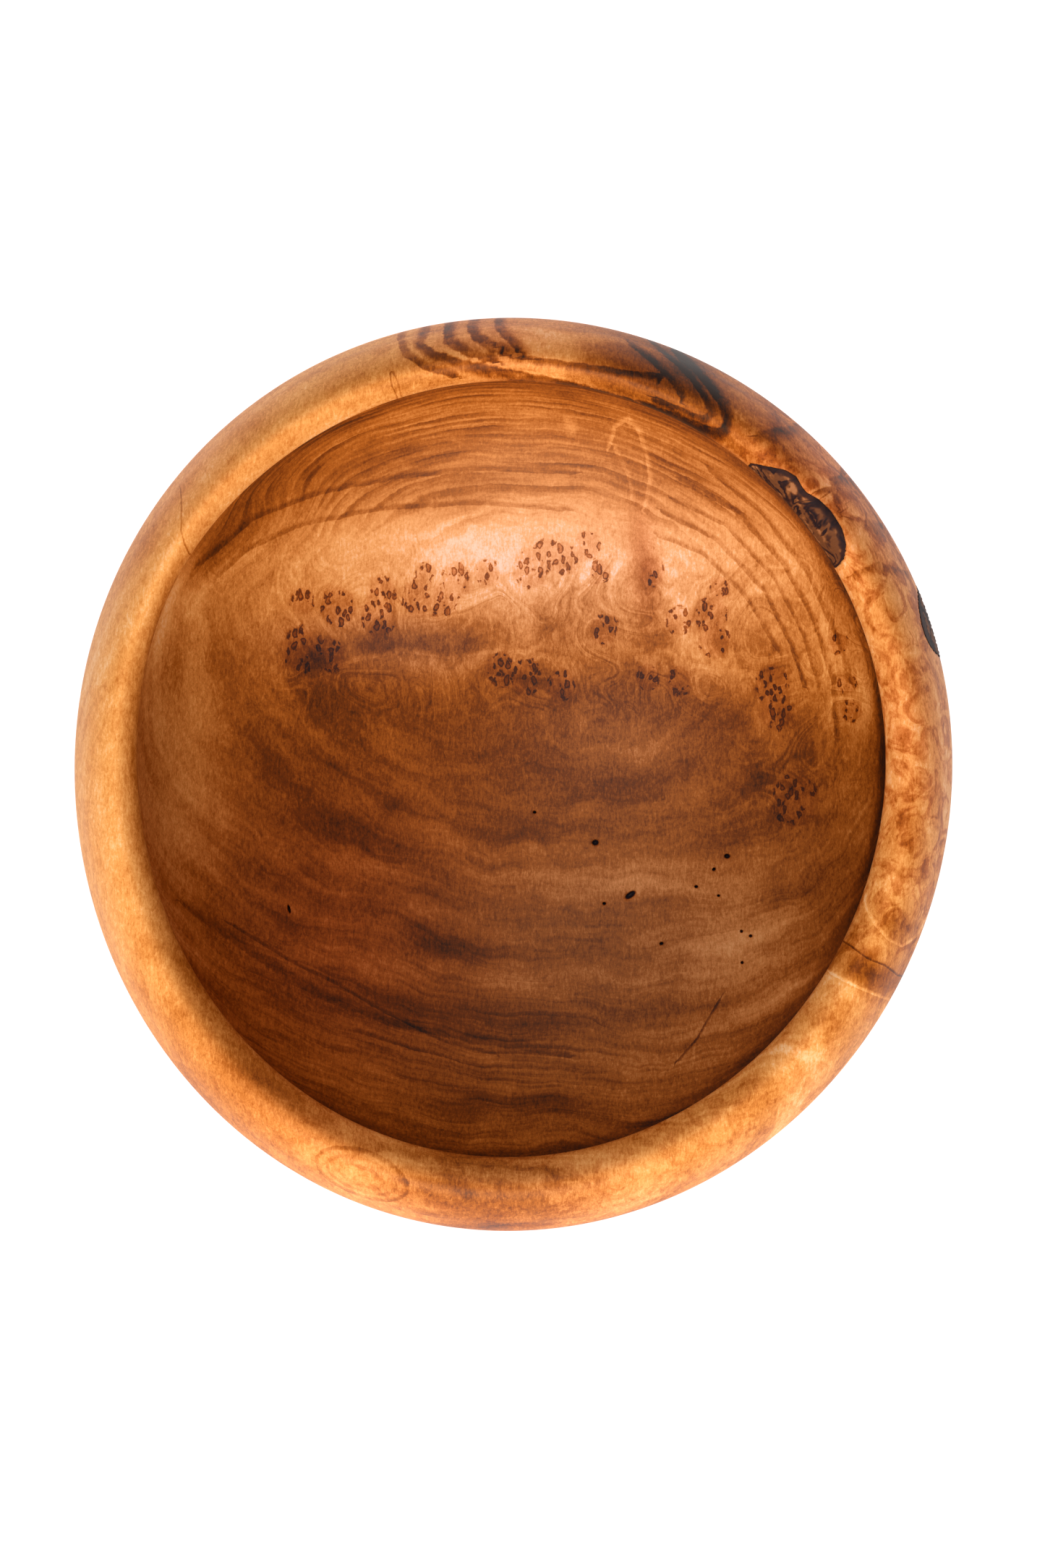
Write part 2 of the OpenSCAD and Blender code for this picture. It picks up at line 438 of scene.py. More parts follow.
class Figure:
    """Where the mesh's points are, in mm, and marks placed on them."""

    def __init__(self, points, place, direction):
        self.points = points / MM
        self.place, self.direction = place, direction
        self.length = length_at(place) / MM
        # Seen from above; the outside wall is rolled out flat round the belly
        past_belly = np.maximum(self.length - length_at(BELLY) / MM, 0)
        belly_radius = np.hypot(*bowl_point(np.full_like(place, BELLY), direction)[:, :2].T) / MM
        radius = np.where(past_belly > 0, belly_radius + past_belly, np.hypot(*self.points[:, :2].T))
        angle = np.arctan2(self.points[:, 1], self.points[:, 0])
        self.x, self.y = radius * np.cos(angle), radius * np.sin(angle)
        self.in_cavity = step(place, 8.0, 8.6)
        self.on_rim = step(place, 0.3, 1.2) * step(place, 8.7, 8.2)

    def mark(self, x, y, half_length, half_width, angle):
        """1 at a place seen from above, fading over an oval of that size."""
        c, s = math.cos(math.radians(angle)), math.sin(math.radians(angle))
        dx, dy = self.x - x, self.y - y
        along, across = dx * c + dy * s, dy * c - dx * s
        return np.exp(-((along / half_length) ** 2) - (across / half_width) ** 2)

    def cavity_mark(self, *mark):
        """A mark that shows in the cavity only."""
        return self.in_cavity * self.mark(*mark)

    def rim_mark(self, *mark):
        """A mark that shows on the rim and the outside only."""
        return self.on_rim * self.mark(*mark)

    def pith_distance(self):
        """Distance from the pith in mm."""
        axis = PITH_SLOPE / np.linalg.norm(PITH_SLOPE)
        offset = self.points - PITH_POINT
        return np.linalg.norm(offset - (offset @ axis)[:, None] * axis, axis=1)

    def rings(self):
        """Distance from the pith in mm, bent round the knots: the growth lines are its level lines."""
        distance = self.pith_distance()
        for *mark, height in CAVITY_KNOTS:
            distance += height * self.cavity_mark(*mark)
        return distance

    def floor_share(self):
        """1 on the dark floor of the cavity, 0 on the paler wall above its wavy edge."""
        edge = 24 - 15 * step(self.x, 15, 65) + 3 * step(-self.x, 20, 50) + 1.5 * np.sin(self.x / 6)
        return step(self.y, edge + 12, edge - 8)

    def tone(self):
        """How pale the wood is drawn: rim, cavity wall and floor, then single marks, then painted shade
        under and along the lip.
        """
        around = np.interp(self.direction % 360, *zip(*RIM_TONE))
        wall = 0.60
        rim = wall + (around - wall) * step(self.length, 60, 30)
        cavity = 0.70 - 0.28 * self.floor_share()
        tone = rim + (cavity - rim) * self.in_cavity
        for *mark, amount in CAVITY_TONE:
            tone += amount * self.cavity_mark(*mark)
        for *mark, amount in RIM_MARKS:
            tone += amount * self.rim_mark(*mark)
        left_half = step(np.abs(turn(self.direction, 185)), 70, 30)
        # Painted shade under the lip's overhang on the right, top and bottom; on the left the wood under
        # the lip is drawn a little paler instead.
        under_lip = step(self.place, 8.3, 8.8) * step(self.place, 10.9, 10.45)
        # Painted shade on the upper cavity wall below the lip.
        top_wall_shade = self.in_cavity * step(self.y, 50, 70)
        at_right = step(np.abs(turn(self.direction, 15)), 40, 20)
        at_left = step(np.abs(turn(self.direction, 182)), 48, 25)
        # A thin painted shadow in the crease under the lip, on the right.
        crease_shadow = under_lip * step(self.place, 10.75, 10.5) * at_right
        # Painted shade where the left rim rolls over into the cavity.
        soft_lip_shade = self.on_rim * step(self.length, 8, 0) * at_left
        painted_shade = 0.25 * crease_shadow + 0.12 * top_wall_shade + 0.24 * soft_lip_shade
        return tone - (0.22 - 0.27 * left_half) * under_lip - painted_shade

    def contrast(self):
        """How strongly the growth lines show."""
        # The lines show less in the band of painted highlight on the upper wall.
        sheen_band = self.cavity_mark(0, 48, 60, 9, 0)
        smooth_rim = self.on_rim * step(np.abs(turn(self.direction, 180)), 85, 50)
        left_wall = self.cavity_mark(-72, 8, 14, 40, 0)
        right_edge = self.rim_mark(96, 0, 5, 40, 0)
        return 0.8 - 0.45 * sheen_band - 0.45 * smooth_rim - 0.4 * left_wall - 0.5 * right_edge

    def calm(self):
        """How straight and fine the growth lines run."""
        top, bottom = step(self.y, 42, 70), self.mark(-20, -62, 60, 18, -6)
        return self.in_cavity * np.maximum(top, 0.55 * bottom)

    def burl(self):
        """1 among the eyes of a burl, 0 away from them."""
        share = np.zeros_like(self.x)
        for x, y, radius in BURLS:
            distance = np.hypot(self.x - x, (self.y - y) / 1.15) / radius
            share = np.maximum(share, self.in_cavity * step(distance, 1.5, 0.7))
        return share

    def redness(self):
        """Where the wood is redder."""
        share = np.zeros_like(self.x)
        for *mark, amount in CAVITY_RED:
            share += amount * self.cavity_mark(*mark)
        for *mark, amount in RIM_RED:
            share += amount * self.rim_mark(*mark)
        return share

    def blush_and_sheen(self):
        """Where the wood is drawn paler and pinker: in places a painted sheen of the lights, elsewhere
        pinker wood.
        """
        # bright is a painted sheen of the window light on the upper wall, and low a painted sheen of the
        # lights on the floor.
        bright, dark = self.cavity_mark(14, 48, 46, 26, 0), self.cavity_mark(-24, 30, 24, 8, 0)
        middle, low = self.cavity_mark(24, 11, 24, 19, 0), self.cavity_mark(26, -38, 42, 42, 0)
        rim = self.rim_mark(0, -90, 22, 8, 0)
        return np.maximum(np.maximum(0.85 * bright, dark), 0.8 * middle + 0.6 * low + 0.35 * rim)

    def line_distance(self, points, width):
        """Signed distance from a line seen from above, in widths of that line."""
        best = np.full(self.x.shape, 1e3)
        for (x0, y0), (x1, y1) in zip(points[:-1], points[1:]):
            dx, dy = x1 - x0, y1 - y0
            length = math.hypot(dx, dy)
            t = np.clip(((self.x - x0) * dx + (self.y - y0) * dy) / length**2, 0, 1)
            distance = np.hypot(self.x - x0 - t * dx, self.y - y0 - t * dy)
            side = np.sign((self.y - y0) * dx - (self.x - x0) * dy)
            best = np.where(distance < np.abs(best), np.where(side == 0, 1, side) * distance, best)
        return best / width

    def lines(self, chosen):
        """For the nearest of the chosen lines: signed distance in widths of it, and how dark it is."""
        best, ink = np.full(self.x.shape, 20.0), np.zeros_like(self.x)
        for where, dark, width, points in chosen:
            distance = self.line_distance(points, width)
            mask = self.in_cavity if where == "cavity" else self.on_rim * step(self.length, 50, 22)
            nearer = np.abs(distance) + 20 * (mask < 0.2) < np.abs(best)
            best = np.where(nearer, distance, best)
            reach = 1.8 * width + 0.4
            near = step(np.abs(distance) * width, reach + 1.2, reach)
            ink = np.where(nearer, dark * mask * near, ink)
        return np.clip(best, -6, 6), ink

    def curl(self):
        """Where the fibres curl between the burls."""
        middle = step(self.y, 8, 20) * step(self.y, 56, 42) * step(self.x, -66, -46)
        band = self.mark(-24, 29, 26, 5, 0)
        return self.in_cavity * np.maximum(middle - 0.8 * band, self.mark(62, 2, 16, 20, 0))

    def mottle(self):
        """How mottled the rim is."""
        return self.on_rim * np.interp(self.direction % 360, *zip(*RIM_MOTTLE))


def paint(mesh, name, values):
    """Stores a number for each of the mesh's points."""
    attribute = mesh.attributes.new(name, "FLOAT", "POINT")
    attribute.data.foreach_set("value", values.astype(np.float32))


def paint_figure(mesh, figure):
    """Stores the figure's numbers on the mesh, for the wood's material."""
    fields = {
        "rings": figure.rings(),
        "tone": figure.tone(),
        "contrast": figure.contrast(),
        "burl": figure.burl(),
        "redness": figure.redness(),
        "blush_and_sheen": figure.blush_and_sheen(),
        "mottle": figure.mottle(),
        "calm": figure.calm(),
        "curl": figure.curl(),
    }
    for number, chosen in enumerate(LINES):
        fields[f"line_{number}"], fields[f"ink_{number}"] = figure.lines(chosen)
    for name, values in fields.items():
        paint(mesh, name, values)


# ---------------------------------------------------------------------------------------------
# The two pieces of bark: strips of the bowl's surface, each with its own recess under it
# ---------------------------------------------------------------------------------------------
def across_to_place(across):
    """Place along the section for a share of the rim's width: 0 at the mouth, 1 at the belly."""
    return np.interp(np.interp(MOUTH, PLACES, LENGTHS) - across_to_length(across), LENGTHS, PLACES)


# Outer edge of the rim's bark pocket: direction, and share of the rim's width from the mouth
POCKET_EDGE = [
    (31.6, 0.00), (32.6, 0.16), (34.2, 0.27), (36.3, 0.34), (39.3, 0.36), (41.5, 0.33), (43.4, 0.26),
    (44.4, 0.27), (46.0, 0.31), (47.6, 0.27), (50.0, 0.13), (52.0, 0.03),
]


def pocket_limits(direction):
    """The pocket's two edges along the section, in each direction."""
    across = np.interp(direction, *zip(*POCKET_EDGE))
    ends = np.sqrt(np.clip(1 - np.abs((direction - 41.8) / 10.2) ** 6, 0.0004, 1))
    return across_to_place(across), MOUTH + 0.02 + 0.22 * ends


def patch_limits(direction):
    """The patch's two edges along the section: a lens that is blunt at its lower end."""
    share = np.clip((direction - 15.0) / 10.4, 0, 1)
    width = np.sqrt(np.clip(share, 0.0005, 1)) * np.clip(1 - share, 0.0005, 1) ** 0.8 * 1.75
    return BELLY - 0.15 - 0.85 * width, BELLY - 0.10 + 1.75 * width


# Length in mm of one degree round the rim
DEGREE_LENGTH = 1.6

# Each piece of bark: its directions, its edges along the section, and its thickness
BARK = {
    "rim_bark_pocket": ((31.7, 51.9), pocket_limits, 1.6 * MM),
    "outer_bark_patch": ((15.05, 25.35), patch_limits, 1.4 * MM),
}


def surface_normal(place, direction):
    """The bowl's outward normal at places on its surface."""
    after, before = np.minimum(place + 0.01, FLOOR), np.maximum(place - 0.01, 0)
    along = bowl_point(after, direction) - bowl_point(before, direction)
    around = bowl_point(place, direction + 0.1) - bowl_point(place, direction - 0.1)
    normal = np.cross(around, along)
    length = np.linalg.norm(normal, axis=-1, keepdims=True)
    return normal / np.maximum(length, 1e-12)


def recess_depth(place, direction):
    """How deep the bowl's surface lies below its plain form: a hollow under each piece of bark."""
    depth = np.zeros_like(place)
    for (start, end), limits, thickness in BARK.values():
        low, high = limits(direction)
        inside = np.minimum(length_at(low) - length_at(place), length_at(place) - length_at(high))
        ends = np.minimum(direction - start, end - direction) * DEGREE_LENGTH * MM
        depth = np.maximum(depth, thickness * step(np.minimum(inside, ends), 0.3 * MM, 1.2 * MM))
    return depth


def make_bark(node, material):
    """A closed piece of bark, flush with the wood round it and slightly uneven on top."""
    (start, end), limits, thickness = BARK[node]
    s, t = np.meshgrid(np.linspace(0, 1, 101), np.linspace(0, 1, 31), indexing="ij")
    direction = start + (end - start) * s
    low, high = limits(direction)
    place = high + (low - high) * t
    surface, normal = bowl_point(place, direction), surface_normal(place, direction)
    inside = np.minimum(np.minimum(s, 1 - s) * 30, np.minimum(t * 4, (1 - t) * 2.6))
    waves = np.sin(direction * 9 + 12 * t) * np.sin(direction * 3.1 - 9 * t)
    top = surface + normal * ((0.06 + 0.10 * waves * step(inside, 0, 1)) * MM)[..., None]
    bottom = surface - normal * (0.25 * MM + (thickness - 0.35 * MM) * step(inside, 0, 2))[..., None]
    rows, columns = s.shape
    count = rows * columns
    index = np.arange(count).reshape(rows, columns)
    corners = [index[:-1, :-1], index[:-1, 1:], index[1:, 1:], index[1:, :-1]]
    cells = np.stack(corners, axis=-1).reshape(-1, 4)
    rim = np.concatenate([index[0, :-1], index[:-1, -1], index[-1, :0:-1], index[:0:-1, 0]])
    sides = np.stack([np.roll(rim, -1), rim, rim + count, np.roll(rim, -1) + count], axis=-1)
    vertices = np.concatenate([top.reshape(-1, 3), bottom.reshape(-1, 3)])
    faces = np.concatenate([cells, cells[:, ::-1] + count, sides]).tolist()
    bark = add_piece(node + "_detail", vertices, faces, material)
    edge = np.concatenate([inside.ravel(), inside.ravel()]).clip(0, 1)
    paint(bark.data, "inside", edge)
    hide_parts(node)
    return bark


# Worm holes and pores in the floor, seen from above: x, y, half length, half width in mm, turn
PITS = [
    (19, -16, 0.7, 0.6, 0), (27, -28, 1.3, 0.6, 35), (49, -19, 0.6, 0.5, 0), (46, -22, 0.4, 0.3, 40),
    (42, -26, 0.4, 0.3, 0), (52, -36, 0.3, 0.3, 0), (54, -37, 0.35, 0.3, 0), (52, -43, 0.3, 0.3, 0),
    (34, -39, 0.4, 0.3, 20), (5, -9, 0.35, 0.3, 0), (21, -30, 0.35, 0.3, 0), (47, -28, 0.3, 0.25, 0),
    (-51, -31, 0.9, 0.25, 105), (-43, -62, 0.6, 0.3, 120),
]
PIT_DEPTH = 1.3 * MM


def near_pits(x, y):
    """1 in the middle of a pit, fading to 0 at about its edge."""
    share = np.zeros_like(x)
    for px, py, half_length, half_width, angle in PITS:
        c, s = math.cos(math.radians(angle)), math.sin(math.radians(angle))
        along, across = (x - px) * c + (y - py) * s, (y - py) * c - (x - px) * s
        square = (along / half_length) ** 2 + (across / half_width) ** 2
        share = np.maximum(share, np.exp(-(square**1.5)))
    return share


def sink_pits(bowl):
    """Makes the mesh finer at each pit, and sinks the pit into the floor."""
    mesh = bmesh.new()
    mesh.from_mesh(bowl.data)
    for px, py, half_length, *_ in PITS:
        middle = Vector((px, py)) * MM
        reach = (half_length + 0.6) * MM
        for cuts, spread in ((3, 1.2 * MM), (2, 0.0)):
            edges = [
                edge for edge in mesh.edges
                if min((vertex.co.xy - middle).length for vertex in edge.verts) < reach + spread
                and edge.verts[0].co.z < 0.6 * HEIGHT and edge.verts[0].normal.z > 0
            ]
            bmesh.ops.subdivide_edges(mesh, edges=edges, cuts=cuts, use_grid_fill=True)
    many_sided = [
        face for face in mesh.faces
        if len(face.verts) > 4 and face.calc_center_median().z > 0.5 * FLOOR_T
    ]
    bmesh.ops.triangulate(mesh, faces=many_sided, ngon_method="BEAUTY")
    mesh.to_mesh(bowl.data)
    mesh.free()
    points = np.empty(len(bowl.data.vertices) * 3)
    bowl.data.vertices.foreach_get("co", points)
    points = points.reshape(-1, 3)
    # Only the floor of the cavity, not the foot under it or the wall round it
    on_floor = (np.hypot(points[:, 0], points[:, 1]) < 0.86 * MOUTH_R) & (points[:, 2] > 0.8 * FLOOR_T)
    pit = near_pits(points[:, 0] / MM, points[:, 1] / MM) * on_floor
    points[:, 2] -= PIT_DEPTH * pit
    bowl.data.vertices.foreach_set("co", points.ravel())
    paint(bowl.data, "pit", pit)


def make_bowl(material):
    """The wooden bowl: rings of points from under the foot, up, over and down to the floor."""
    places = mesh_places()
    directions = mesh_directions()
    place, direction = np.meshgrid(places, directions, indexing="ij")
    wall = bowl_point(place, direction)
    foot_shares = np.linspace(0, 1, 15)[1:-1]
    foot = np.array([wall[0] * [share, share, 1] for share in foot_shares])
    wall -= surface_normal(place, direction) * recess_depth(place, direction)[..., None]
    points = np.concatenate([foot, wall[:-1]])
    rows, columns = points.shape[:2]
    vertices = np.concatenate([points.reshape(-1, 3), [[0, 0, 0], wall[-1, 0]]])
    faces = grid_faces(rows, columns)
    first, last = rows * columns, rows * columns + 1
    for j in range(columns):
        n = (j + 1) % columns
        faces.append([first, n, j])
        faces.append([last, (rows - 1) * columns + j, (rows - 1) * columns + n])
    bowl = add_piece("carved_bowl", vertices, faces, material)
    all_places = np.concatenate([np.zeros(foot.shape[:2]), place[:-1]]).ravel()
    all_directions = np.tile(directions, rows)
    figure = Figure(vertices, np.append(all_places, [0, FLOOR]), np.append(all_directions, [0, 0]))
    paint_figure(bowl.data, figure)
    sink_pits(bowl)
    return bowl


# ---------------------------------------------------------------------------------------------
# Materials
# ---------------------------------------------------------------------------------------------
class Nodes:
    """A material's nodes: each call adds one node and gives its output."""

    def __init__(self, name):
        self.material = bpy.data.materials.new(name)
        self.material.use_nodes = True
        self.tree = self.material.node_tree
        self.shader = self.tree.nodes["Principled BSDF"]

    def set(self, socket, value):
        if isinstance(value, bpy.types.NodeSocket):
            self.tree.links.new(value, socket)
        else:
            socket.default_value = value

    def add(self, kind, **settings):
        node = self.tree.nodes.new(kind)
        for name, value in settings.items():
            setattr(node, name, value)
        return node

    def math(self, operation, a, b=0.0, c=0.0):
        node = self.add("ShaderNodeMath", operation=operation)
        for socket, value in zip(node.inputs, (a, b, c)):
            self.set(socket, value)
        return node.outputs[0]

    def sum(self, *values):
        total = values[0]
        for value in values[1:]:
            total = self.math("ADD", total, value)
        return total

    def times(self, a, b):
        return self.math("MULTIPLY", a, b)

    def vary(self, noise, amount):
        """A noise from 0 to 1, as a swing of that amount about 0."""
        return self.math("MULTIPLY_ADD", noise, amount, -0.5 * amount)

    def point_mm(self):
        """The place on the piece, in mm."""
        place = self.add("ShaderNodeTexCoord").outputs["Object"]
        return self.scaled(place, (1000, 1000, 1000))

    def scaled(self, vector, scale):
        node = self.add("ShaderNodeVectorMath", operation="MULTIPLY")
        self.set(node.inputs[0], vector)
        node.inputs[1].default_value = scale
        return node.outputs[0]

    def vector(self, x, y, z):
        node = self.add("ShaderNodeCombineXYZ")
        for socket, value in zip(node.inputs, (x, y, z)):
            self.set(socket, value)
        return node.outputs[0]

    def shaken(self, vector, place, scale, amount):
        """A vector moved about by a noise in all three directions."""
        noise = self.add("ShaderNodeTexNoise")
        self.set(noise.inputs["Vector"], place)
        noise.inputs["Scale"].default_value = scale
        centred = self.add("ShaderNodeVectorMath", operation="SUBTRACT")
        self.set(centred.inputs[0], noise.outputs["Color"])
        centred.inputs[1].default_value = (0.5, 0.5, 0.5)
        moved = self.add("ShaderNodeVectorMath", operation="ADD")
        self.set(moved.inputs[0], vector)
        self.set(moved.inputs[1], self.scaled(centred.outputs[0], (2 * amount, 2 * amount, 2 * amount)))
        return moved.outputs[0]

    def noise(self, vector, scale=1.0, detail=2.0, roughness=0.5, distortion=0.0):
        node = self.add("ShaderNodeTexNoise")
        self.set(node.inputs["Vector"], vector)
        node.inputs["Scale"].default_value = scale
        node.inputs["Detail"].default_value = detail
        node.inputs["Roughness"].default_value = roughness
        node.inputs["Distortion"].default_value = distortion
        return node.outputs["Fac"]

    def cells(self, vector):
        """Distance to the nearest cell's middle, and that cell's own random number."""
        node = self.add("ShaderNodeTexVoronoi")
        self.set(node.inputs["Vector"], vector)
        node.inputs["Scale"].default_value = 1.0
        split = self.add("ShaderNodeSeparateColor")
        self.set(split.inputs[0], node.outputs["Color"])
        return node.outputs["Distance"], split.outputs[0]

    def stretched(self, across, x, y, along, *settings):
        """Noise that varies by its first coordinate, and only slowly along x and y."""
        place = self.vector(across, self.times(x, along), self.times(y, along))
        return self.noise(place, 1, *settings)

    def number(self, attribute):
        """A number painted on the mesh."""
        return self.add("ShaderNodeAttribute", attribute_name=attribute).outputs["Fac"]

    def ease(self, value, start, end, low=0.0, high=1.0):
        """From low at start to high at end, smooth between and level beyond."""
        node = self.add("ShaderNodeMapRange", interpolation_type="SMOOTHSTEP")
        for socket, v in zip(list(node.inputs)[:5], (value, start, end, low, high)):
            self.set(socket, v)
        return node.outputs[0]

    def ramp(self, value, stops):
        node = self.add("ShaderNodeValToRGB")
        self.set(node.inputs[0], value)
        elements = node.color_ramp.elements
        while len(elements) < len(stops):
            elements.new(0.5)
        for element, (position, colour) in zip(elements, stops):
            element.position = position
            element.color = (*colour, 1)
        return node.outputs[0]

    def mix(self, share, a, b, blend="MIX"):
        node = self.add("ShaderNodeMix", data_type="RGBA", blend_type=blend)
        for index, value in ((0, share), (6, a), (7, b)):
            self.set(node.inputs[index], value)
        return node.outputs[2]

    def toned(self, colour, share, factor):
        """A colour multiplied by another, by a share."""
        return self.mix(share, colour, self.mix(1.0, colour, factor, "MULTIPLY"))

    def bump(self, height, strength, distance):
        node = self.add("ShaderNodeBump")
        self.set(node.inputs["Height"], height)
        node.inputs["Strength"].default_value = strength
        node.inputs["Distance"].default_value = distance
        self.set(self.shader.inputs["Normal"], node.outputs[0])

    def finish(self, colour, roughness, **inputs):
        self.set(self.shader.inputs["Base Color"], colour)
        self.set(self.shader.inputs["Roughness"], roughness)
        for name, value in inputs.items():
            self.set(self.shader.inputs[name.replace("_", " ")], value)
        return self.material


# Colours of the oiled wood from its darkest to its palest tone
WOOD_COLOURS = [
    (0.00, (0.018, 0.006, 0.004)),
    (0.15, (0.075, 0.016, 0.002)),
    (0.32, (0.190, 0.039, 0.002)),
    (0.50, (0.385, 0.098, 0.008)),
    (0.68, (0.620, 0.212, 0.040)),
    (0.84, (0.810, 0.345, 0.092)),
    (1.00, (0.900, 0.520, 0.250)),
]


# Colour of the light that the oiled wood reflects head on
WARM_GLOSS = (1.0, 0.80, 0.55, 1)


def growth_lines(n, p, x, y, calm):
    """Lines along the painted rings: their tone, then the fine strands and the layers' edges."""
    sway = n.times(n.vary(n.noise(p, 0.045, 2), 10.0), n.ease(calm, 0, 1, 1, 0.3))
    wander = n.times(n.vary(n.noise(p, 0.12, 2), 2.6), n.ease(calm, 0, 1, 1, 0.08))
    quiver = n.vary(n.noise(p, 0.9, 1), 0.35)
    rings = n.sum(n.number("rings"), sway, wander, quiver)
    bands = n.stretched(n.times(rings, 0.13), x, y, 0.03, 2)
    folds = n.stretched(n.times(rings, 0.20), x, y, 0.022, 3, 0.5, 0.1)
    strands = n.stretched(n.times(rings, 1.2), x, y, 0.05, 4, 0.65)
    layer = n.times(rings, 0.60)
    saw = n.math("FRACT", layer)
    layer_edge = n.times(n.ease(saw, 0.1, 0.88), n.ease(saw, 1.0, 0.93))
    layer_strength = n.ease(n.stretched(n.math("FLOOR", layer), x, y, 0.04), 0.40, 0.70)
    layer_line = n.times(n.times(layer_edge, layer_strength), n.ease(calm, 0, 1, 0.22, 1))
    broad = n.times(n.sum(n.vary(bands, 0.40), n.vary(folds, 0.75)), n.ease(calm, 0, 1, 1, 0.2))
    fine = n.times(n.vary(strands, 0.30), n.ease(calm, 0, 1, 1, 2.4))
    return n.sum(broad, fine, n.times(layer_line, -0.26)), strands, layer_line


def burl_eyes(n, p):
    """The small eyes of the burls: their tone, then the eyes' fill and edge, and the halo of a burl."""
    burl = n.sum(n.number("burl"), n.vary(n.noise(p, 0.48, 3), 1.1))
    cell_distance, chance = n.cells(n.shaken(n.scaled(p, (0.66, 0.38, 0.38)), p, 0.55, 0.5))
    distance = n.sum(cell_distance, n.times(chance, 0.16), -0.06)
    there = n.ease(n.math("SUBTRACT", burl, n.times(chance, 0.30)), 0.2, 0.45)
    fill = n.times(n.ease(distance, 0.48, 0.34), there)
    edge = n.times(n.times(n.ease(distance, 0.46, 0.36), n.ease(distance, 0.15, 0.30)), there)
    core = n.times(n.ease(distance, 0.22, 0.10), n.times(there, n.ease(chance, 0.4, 0.6)))
    halo = n.ease(burl, 0.0, 1.0)
    ring = n.times(n.ease(burl, 0.30, 0.50), n.ease(burl, 0.72, 0.52))
    eyes = n.sum(
        n.times(fill, -0.19),
        n.times(edge, -0.24),
        n.times(core, -0.12),
        n.times(halo, -0.09),
        n.times(ring, -0.03),
    )
    return eyes, fill, edge, halo


def single_lines(n, p):
    """Ink of the single lines: above 0 for the dark lines, below 0 for the pale ones."""
    unsteady = n.sum(n.vary(n.noise(p, 0.35, 2), 1.4), n.vary(n.noise(p, 1.5, 1), 0.5))
    faint = n.ease(n.noise(p, 0.25, 1), 0.25, 0.6, 0.55, 1)
    inks = []
    for number in range(len(LINES)):
        line = n.sum(n.number(f"line_{number}"), unsteady)
        line_mark = n.times(n.ease(line, -1.0, -0.4), n.ease(line, 2.4, 0.4))
        inks.append(n.times(line_mark, n.number(f"ink_{number}")))
    return n.times(n.sum(*inks), faint)


def wood_colour(n, tone, red, ink):
    """The wood's colour for its tone, redder in places, paler and pinker where painted sheen or pinker
    wood is, and cooler on the dark lines.
    """
    blush_and_sheen = n.number("blush_and_sheen")
    colour = n.toned(n.ramp(tone, WOOD_COLOURS), red, (1.0, 0.74, 0.86, 1))
    # Paler, pinker and a little greyer where the sheen of the lights is painted, and where the wood is
    # pinker.
    colour = n.toned(colour, blush_and_sheen, (1.0, 1.15, 2.1, 1))
    colour = n.mix(blush_and_sheen, colour, (0.0, 0.010, 0.017, 1), "ADD")
    return n.toned(colour, n.times(n.math("MAXIMUM", ink, 0.0), 0.08), (0.9, 0.92, 1.5, 1))


def wood_material():
    """Oiled burl wood: growth lines that follow the painted rings, burl eyes, fibres and pores."""
    n = Nodes("figured_wood")
    p = n.point_mm()
    split = n.add("ShaderNodeSeparateXYZ")
    n.set(split.inputs[0], p)
    x, y = split.outputs[:2]
    calm = n.number("calm")
    lines, strands, layer_line = growth_lines(n, p, x, y, calm)
    eyes, eye_fill, eye_edge, halo = burl_eyes(n, p)
    ink = single_lines(n, p)

    fur = n.noise(n.scaled(p, (1.7, 0.5, 0.5)), 1, 3, 0.75, 0.8)
    grain = n.noise(p, 1.6, 2, 0.8)
    clouds = n.noise(p, 0.11, 3, 0.55, 0.8)
    mottles = n.times(n.ease(n.noise(p, 0.17, 4, 0.62, 1.2), 0.42, 0.66), n.number("mottle"))
    eddies = n.times(n.noise(p, 0.05, 1, 0.5, 1.2), 26.0)
    curls = n.stretched(eddies, x, y, 0.05, 3, 0.6)
    tone = n.sum(
        n.number("tone"),
        n.times(n.vary(curls, 0.62), n.number("curl")),
        n.times(lines, n.number("contrast")),
        n.vary(clouds, 0.22),
        n.times(n.vary(fur, 0.54), n.ease(calm, 0, 1, 1, 0.5)),
        n.vary(grain, 0.27),
        n.times(mottles, -0.26),
    )
    tone = n.sum(tone, n.times(eyes, n.ease(tone, 0.28, 0.66, 0.5, 0.95)))
    # Pits are drawn darker: painted shade in the holes.
    tone = n.sum(tone, n.times(ink, -0.36), n.times(n.ease(n.number("pit"), 0.1, 0.6), -0.6))

    red_eyes = n.sum(n.times(halo, 0.18), n.times(eye_fill, 0.28))
    red = n.sum(n.number("redness"), red_eyes, n.times(mottles, 0.42))
    colour = wood_colour(n, tone, red, ink)
    roughness = n.sum(0.46, n.vary(clouds, 0.10), n.vary(strands, 0.10))
    fibres = n.sum(n.times(strands, 0.4), n.times(fur, 0.4))
    relief = n.sum(fibres, n.times(eye_edge, -0.4), n.times(layer_line, -0.3))
    n.bump(relief, 0.25, 0.15 * MM)
    return n.finish(colour, roughness, IOR=1.25, Specular_Tint=WARM_GLOSS)


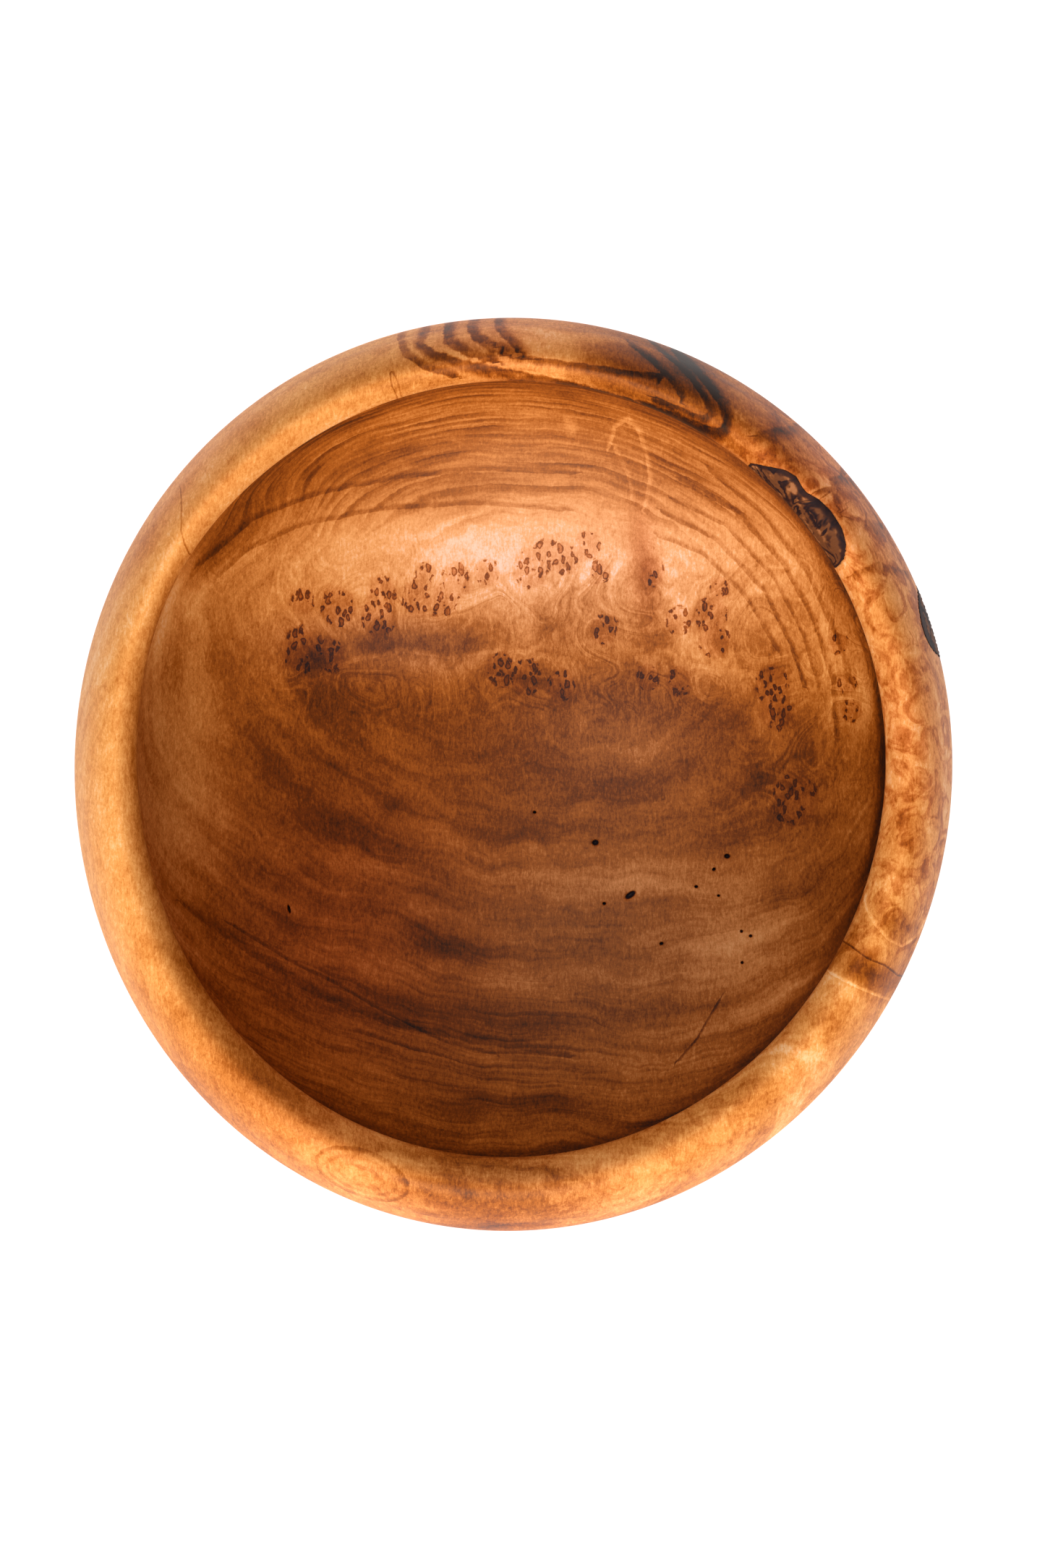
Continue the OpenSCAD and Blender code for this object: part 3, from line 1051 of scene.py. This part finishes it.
def bark_material(name, pale, scale):
    """Polished bark: swirling dark lines in brown, with paler patches, and a dark edge."""
    n = Nodes(name)
    p = n.point_mm()
    swirl = n.noise(p, 0.13 * scale, 2, 0.45, 1.4)
    saw = n.math("FRACT", n.times(swirl, 5.0))
    lines = n.times(n.ease(saw, 0.30, 0.75), n.ease(saw, 1.0, 0.85))
    patches = n.ease(n.noise(p, 0.30 * scale, 2), 0.50, 0.64)
    grain = n.noise(p, 2.2, 2, 0.8)
    edge = n.ease(n.sum(n.number("inside"), n.vary(n.noise(p, 0.8, 2), 0.5)), 0.30, 0.75)
    tone = n.sum(0.42, n.times(patches, 0.38 * pale), n.times(lines, -0.42), n.vary(grain, 0.10))
    tone = n.times(tone, n.ease(edge, 0, 1, 0.15, 0.9))
    colour = n.ramp(tone, [
        (0.0, (0.016, 0.007, 0.008)),
        (0.25, (0.065, 0.020, 0.010)),
        (0.5, (0.210, 0.068, 0.020)),
        (0.75, (0.380, 0.145, 0.055)),
        (1.0, (0.620, 0.310, 0.150)),
    ])
    n.bump(n.sum(n.times(lines, -0.6), n.times(grain, 0.3)), 0.2, 0.15 * MM)
    return n.finish(colour, 0.6, IOR=1.2)


# ---------------------------------------------------------------------------------------------
# Setting: floor, lights and camera
# ---------------------------------------------------------------------------------------------
def make_floor():
    size = 8.0
    bpy.ops.mesh.primitive_plane_add(size=size)
    floor = bpy.context.object
    floor.name = "floor"
    material = bpy.data.materials.new("pale_floor")
    material.use_nodes = True
    shader = material.node_tree.nodes["Principled BSDF"]
    shader.inputs["Base Color"].default_value = (0.9, 0.9, 0.9, 1)
    shader.inputs["Roughness"].default_value = 0.8
    floor.data.materials.append(material)
    return floor


def aim(thing, place, target):
    """Puts a light or camera at a place, pointing at a target."""
    thing.location = place
    thing.rotation_euler = (Vector(target) - Vector(place)).to_track_quat("-Z", "Y").to_euler()


def add_light(name, size, power, colour, azimuth, elevation, distance):
    """A square soft light aimed at the bowl; azimuth is anticlockwise from +X, seen from above."""
    data = bpy.data.lights.new(name, "AREA")
    data.size = size
    data.energy = power
    data.color = colour
    light = bpy.data.objects.new(name, data)
    bpy.context.scene.collection.objects.link(light)
    a, e = math.radians(azimuth), math.radians(elevation)
    away = Vector((math.cos(a) * math.cos(e), math.sin(a) * math.cos(e), math.sin(e))) * distance
    target = Vector((0, 0, 0.5 * HEIGHT))
    aim(light, target + away, target)
    return light


def light_only(lights, things):
    """Keeps lights to some things, so that the bowl casts no hard shadow on the pale floor."""
    for light in lights:
        for role in ("receiver", "blocker"):
            group = bpy.data.collections.new(f"{light.name}_{role}s")
            for thing in things:
                group.objects.link(thing)
            setattr(light.light_linking, f"{role}_collection", group)


def make_camera():
    """Straight above, a little off the bowl's centre, with a lens that fills the frame with it."""
    camera_height = 0.90
    offset = Vector((2.2, -2.5)) * MM
    belly_share = 0.2845  # the bowl's mean radius as a share of the frame's longer side
    data = bpy.data.cameras.new("camera")
    data.sensor_width = 36
    distance = camera_height - BELLY_Z
    data.lens = belly_share / BELLY_R * distance * data.sensor_width
    camera = bpy.data.objects.new("camera", data)
    bpy.context.scene.collection.objects.link(camera)
    camera.location = (offset.x, offset.y, camera_height)
    bpy.context.scene.camera = camera


def make_world():
    world = bpy.data.worlds.new("studio")
    world.use_nodes = True
    background = world.node_tree.nodes["Background"]
    background.inputs["Color"].default_value = (1.0, 1.0, 1.0, 1)
    background.inputs["Strength"].default_value = 0.45
    bpy.context.scene.world = world


bowl = make_bowl(wood_material())
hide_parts("bowl_body")
barks = [
    make_bark("rim_bark_pocket", bark_material("ingrown_bark", 1.0, 1.0)),
    make_bark("outer_bark_patch", bark_material("outer_bark", 0.25, 0.7)),
]
floor = make_floor()
window = add_light("window", 0.7, 20, (1.0, 0.96, 0.90), 262, 34, 1.3)
overhead = add_light("overhead", 0.5, 4.5, (1.0, 1.0, 1.0), 115, 67, 1.3)
floor_light = add_light("floor_light", 2.0, 36, (1.0, 1.0, 1.0), 0, 90, 1.6)
light_only([window, overhead], [bowl, *barks])
light_only([floor_light], [floor])
make_world()
make_camera()
bpy.context.scene.view_settings.view_transform = "Standard"
